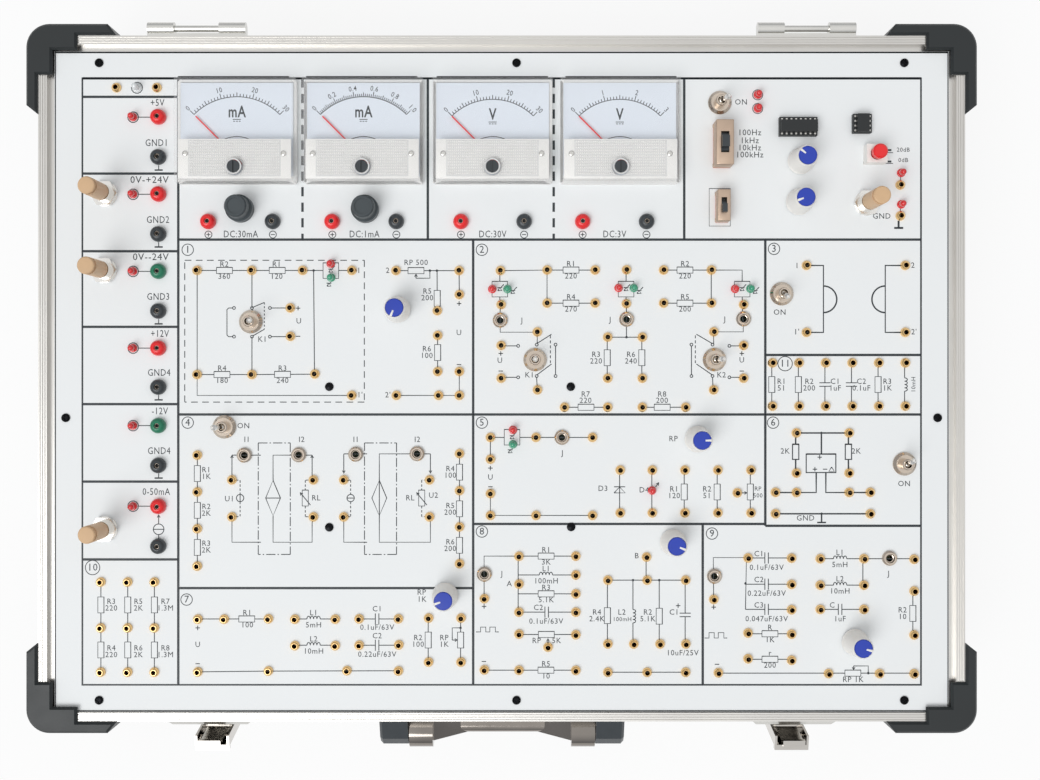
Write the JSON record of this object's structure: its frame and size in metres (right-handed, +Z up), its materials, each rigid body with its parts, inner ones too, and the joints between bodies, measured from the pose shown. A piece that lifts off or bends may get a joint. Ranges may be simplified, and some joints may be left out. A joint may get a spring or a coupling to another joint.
{
  "type": "electrical circuit trainer",
  "caption": "Classroom circuit trainer in the open bottom half of an aluminium-edged case: a white panel of plug sockets with meters, knobs, switches and lamps over its boards.",
  "frame": {"origin": "on the table, under the middle of the whole object's box", "axes": "+X along the case, +Y to the lid hinges, +Z up"},
  "size_m": [0.512, 0.398, 0.1205],
  "materials": {
    "board": "laminated plywood, dark inside and silver grey outside",
    "profile": "satin anodised extrusion",
    "guard": "fine-textured black moulding",
    "foot_rubber": "matt rubber",
    "plated_steel": "plated pressed steel",
    "panel": "white enamelled board with black print",
    "black_screw": "blackened steel",
    "gold_contact": "gold-plated turned brass",
    "socket_plastic": "red, black or green moulding",
    "nickel": "nickel plate",
    "lamp_lens": "tinted epoxy",
    "black_plastic": "black moulding",
    "meter_plastic": "white dial over a dark base",
    "clear_cover": "clear polystyrene",
    "switch_case": "tan plated case",
    "circuit_laminate": "green laminate",
    "chrome_handle": "polished chrome",
    "red_plastic": "red moulding",
    "knob_plastic": "white skirt and blue cap",
    "tan_plastic": "tan moulding"
  },
  "bodies": {
    "case": {"bottom_board": "board", "wall_boards": "board", "edge_profiles": "profile", "corner_guards": "guard", "rubber_feet": "foot_rubber", "lid_hinges": "plated_steel", "handle_mounts": "guard", "latch_plates": "plated_steel", "face_panel": "panel", "fasteners": "black_screw", "gold_sockets": "gold_contact", "power_sockets": "socket_plastic", "jack_sockets": "nickel", "indicator_lamps": "lamp_lens", "ic_sockets": "black_plastic", "meter_cases": "meter_plastic", "meter_covers": "clear_cover", "potentiometers": "nickel", "toggle_switches": "nickel", "fuse_holders": "black_plastic", "selector_switches": "switch_case", "circuit_boards": "circuit_laminate", "power_supply": "black_plastic", "mains_inlet": "black_plastic"},
    "knob_section_1": {"knob_section_1": "knob_plastic"},
    "knob_section_5": {"knob_section_5": "knob_plastic"},
    "knob_section_7": {"knob_section_7": "knob_plastic"},
    "knob_section_8": {"knob_section_8": "knob_plastic"},
    "knob_section_9": {"knob_section_9": "knob_plastic"},
    "knob_coarse": {"knob_coarse": "knob_plastic"},
    "knob_fine": {"knob_fine": "knob_plastic"},
    "supply_knob_1": {"supply_knob_1": "tan_plastic"},
    "supply_knob_2": {"supply_knob_2": "tan_plastic"},
    "supply_knob_3": {"supply_knob_3": "tan_plastic"},
    "amplitude_knob": {"amplitude_knob": "tan_plastic"},
    "lever_generator": {"lever_generator": "nickel"},
    "lever_section_1": {"lever_section_1": "nickel"},
    "lever_section_2_left": {"lever_section_2_left": "nickel"},
    "lever_section_2_right": {"lever_section_2_right": "nickel"},
    "lever_section_3": {"lever_section_3": "nickel"},
    "lever_section_4": {"lever_section_4": "nickel"},
    "lever_section_6": {"lever_section_6": "nickel"},
    "frequency_slider": {"frequency_slider": "black_plastic"},
    "waveform_slider": {"waveform_slider": "black_plastic"},
    "push_button": {"push_button": "red_plastic"},
    "fuse_cap_1": {"fuse_cap_1": "black_plastic"},
    "fuse_cap_2": {"fuse_cap_2": "black_plastic"},
    "meter_pointer_1": {"meter_pointer_1": "red_plastic"},
    "zero_screw_1": {"zero_screw_1": "black_plastic"},
    "meter_pointer_2": {"meter_pointer_2": "red_plastic"},
    "zero_screw_2": {"zero_screw_2": "black_plastic"},
    "meter_pointer_3": {"meter_pointer_3": "red_plastic"},
    "zero_screw_3": {"zero_screw_3": "black_plastic"},
    "meter_pointer_4": {"meter_pointer_4": "red_plastic"},
    "zero_screw_4": {"zero_screw_4": "black_plastic"},
    "handle": {"handle": "chrome_handle"},
    "latch_lever_left": {"latch_lever_left": "plated_steel"},
    "latch_claw_left": {"latch_claw_left": "plated_steel"},
    "latch_lever_right": {"latch_lever_right": "plated_steel"},
    "latch_claw_right": {"latch_claw_right": "plated_steel"}
  },
  "joints": [
    {"name": "knob_section_1_turn", "type": "hinge", "parent": "case", "child": "knob_section_1", "pos_m": [-0.05624, 0.04313, 0.0905], "axis": [0, 0, 1], "range_deg": [-300, 0]},
    {"name": "knob_section_5_turn", "type": "hinge", "parent": "case", "child": "knob_section_5", "pos_m": [0.10577, -0.02673, 0.0905], "axis": [0, 0, 1], "range_deg": [-60, 240]},
    {"name": "knob_section_7_turn", "type": "hinge", "parent": "case", "child": "knob_section_7", "pos_m": [-0.03052, -0.11118, 0.0905], "axis": [0, 0, 1], "range_deg": [-260, 40]},
    {"name": "knob_section_8_turn", "type": "hinge", "parent": "case", "child": "knob_section_8", "pos_m": [0.09246, -0.0824, 0.0905], "axis": [0, 0, 1], "range_deg": [-38, 262]},
    {"name": "knob_section_9_turn", "type": "hinge", "parent": "case", "child": "knob_section_9", "pos_m": [0.19053, -0.13616, 0.0905], "axis": [0, 0, 1], "range_deg": [-45, 255]},
    {"name": "knob_coarse_turn", "type": "hinge", "parent": "case", "child": "knob_coarse", "pos_m": [0.16131, 0.12328, 0.0905], "axis": [0, 0, 1], "range_deg": [-201, 99]},
    {"name": "knob_fine_turn", "type": "hinge", "parent": "case", "child": "knob_fine", "pos_m": [0.16041, 0.10129, 0.0905], "axis": [0, 0, 1], "range_deg": [-262, 38]},
    {"name": "supply_knob_1_turn", "type": "hinge", "parent": "case", "child": "supply_knob_1", "pos_m": [-0.21434, 0.10579, 0.0905], "axis": [0, 0, 1], "range_deg": [-1800, 1800]},
    {"name": "supply_knob_2_turn", "type": "hinge", "parent": "case", "child": "supply_knob_2", "pos_m": [-0.21464, 0.06431, 0.0905], "axis": [0, 0, 1], "range_deg": [-1800, 1800]},
    {"name": "supply_knob_3_turn", "type": "hinge", "parent": "case", "child": "supply_knob_3", "pos_m": [-0.21424, -0.0752, 0.0905], "axis": [0, 0, 1], "range_deg": [-1800, 1800]},
    {"name": "amplitude_knob_turn", "type": "hinge", "parent": "case", "child": "amplitude_knob", "pos_m": [0.19723, 0.10079, 0.0905], "axis": [0, 0, 1], "range_deg": [-1800, 1800]},
    {"name": "lever_generator_flip", "type": "hinge", "parent": "case", "child": "lever_generator", "pos_m": [0.11778, 0.15496, 0.0954], "axis": [0, -1, 0], "range_deg": [0, 25]},
    {"name": "lever_section_1_flip", "type": "hinge", "parent": "case", "child": "lever_section_1", "pos_m": [-0.13549, 0.03663, 0.0954], "axis": [0, -1, 0], "range_deg": [0, 25]},
    {"name": "lever_section_2_left_flip", "type": "hinge", "parent": "case", "child": "lever_section_2_left", "pos_m": [0.01801, 0.01614, 0.0954], "axis": [0, -1, 0], "range_deg": [-12.5, 12.5]},
    {"name": "lever_section_2_right_flip", "type": "hinge", "parent": "case", "child": "lever_section_2_right", "pos_m": [0.11488, 0.01614, 0.0954], "axis": [0, -1, 0], "range_deg": [0, 25]},
    {"name": "lever_section_3_flip", "type": "hinge", "parent": "case", "child": "lever_section_3", "pos_m": [0.1512, 0.05172, 0.0954], "axis": [-1, 0, 0], "range_deg": [0, 25]},
    {"name": "lever_section_4_flip", "type": "hinge", "parent": "case", "child": "lever_section_4", "pos_m": [-0.1498, -0.02014, 0.0954], "axis": [0, 1, 0], "range_deg": [0, 25]},
    {"name": "lever_section_6_flip", "type": "hinge", "parent": "case", "child": "lever_section_6", "pos_m": [0.21754, -0.04012, 0.0954], "axis": [1, 0, 0], "range_deg": [0, 25]},
    {"name": "frequency_select", "type": "slide", "parent": "case", "child": "frequency_slider", "axis": [0, 1, 0], "range_m": [-0.0026, 0.0026]},
    {"name": "waveform_select", "type": "slide", "parent": "case", "child": "waveform_slider", "axis": [0, 1, 0], "range_m": [0, 0.0038]},
    {"name": "push_button_press", "type": "slide", "parent": "case", "child": "push_button", "axis": [0, 0, 1], "range_m": [-0.0025, 0], "stiffness_N_per_m": 200},
    {"name": "fuse_cap_1_turn", "type": "hinge", "parent": "case", "child": "fuse_cap_1", "pos_m": [-0.14109, 0.09749, 0.0905], "axis": [0, 0, 1], "range_deg": [0, 90]},
    {"name": "fuse_cap_2_turn", "type": "hinge", "parent": "case", "child": "fuse_cap_2", "pos_m": [-0.07355, 0.09729, 0.0905], "axis": [0, 0, 1], "range_deg": [0, 90]},
    {"name": "meter_pointer_1_swing", "type": "hinge", "parent": "case", "child": "meter_pointer_1", "pos_m": [-0.14229, 0.12487, 0.0905], "axis": [0, 0, -1], "range_deg": [0, 90], "stiffness_Nm_per_rad": 0.000002},
    {"name": "zero_screw_1_turn", "type": "hinge", "parent": "case", "child": "zero_screw_1", "pos_m": [-0.14229, 0.11867, 0.0905], "axis": [0, 0, 1], "range_deg": [-45, 45]},
    {"name": "meter_pointer_2_swing", "type": "hinge", "parent": "case", "child": "meter_pointer_2", "pos_m": [-0.07425, 0.12487, 0.0905], "axis": [0, 0, -1], "range_deg": [0, 90], "stiffness_Nm_per_rad": 0.000002},
    {"name": "zero_screw_2_turn", "type": "hinge", "parent": "case", "child": "zero_screw_2", "pos_m": [-0.07425, 0.11867, 0.0905], "axis": [0, 0, 1], "range_deg": [-45, 45]},
    {"name": "meter_pointer_3_swing", "type": "hinge", "parent": "case", "child": "meter_pointer_3", "pos_m": [-0.0048, 0.12487, 0.0905], "axis": [0, 0, -1], "range_deg": [0, 90], "stiffness_Nm_per_rad": 0.000002},
    {"name": "zero_screw_3_turn", "type": "hinge", "parent": "case", "child": "zero_screw_3", "pos_m": [-0.0048, 0.11867, 0.0905], "axis": [0, 0, 1], "range_deg": [-45, 45]},
    {"name": "meter_pointer_4_swing", "type": "hinge", "parent": "case", "child": "meter_pointer_4", "pos_m": [0.06354, 0.12487, 0.0905], "axis": [0, 0, -1], "range_deg": [0, 90], "stiffness_Nm_per_rad": 0.000002},
    {"name": "zero_screw_4_turn", "type": "hinge", "parent": "case", "child": "zero_screw_4", "pos_m": [0.06354, 0.11867, 0.0905], "axis": [0, 0, 1], "range_deg": [-45, 45]},
    {"name": "handle_swing", "type": "hinge", "parent": "case", "child": "handle", "pos_m": [0, -0.1895, 0.068], "axis": [-1, 0, 0], "range_deg": [0, 100]},
    {"name": "latch_lever_left_swing", "type": "hinge", "parent": "case", "child": "latch_lever_left", "pos_m": [-0.159, -0.18675, 0.049], "axis": [1, 0, 0], "range_deg": [-11, 99]},
    {"name": "latch_claw_left_swing", "type": "hinge", "parent": "latch_lever_left", "child": "latch_claw_left", "pos_m": [-0.159, -0.18889, 0.06315], "axis": [-1, 0, 0], "range_deg": [0, 12]},
    {"name": "latch_lever_right_swing", "type": "hinge", "parent": "case", "child": "latch_lever_right", "pos_m": [0.159, -0.18675, 0.049], "axis": [1, 0, 0], "range_deg": [-11, 99]},
    {"name": "latch_claw_right_swing", "type": "hinge", "parent": "latch_lever_right", "child": "latch_claw_right", "pos_m": [0.159, -0.18889, 0.06315], "axis": [-1, 0, 0], "range_deg": [0, 12]}
  ]
}
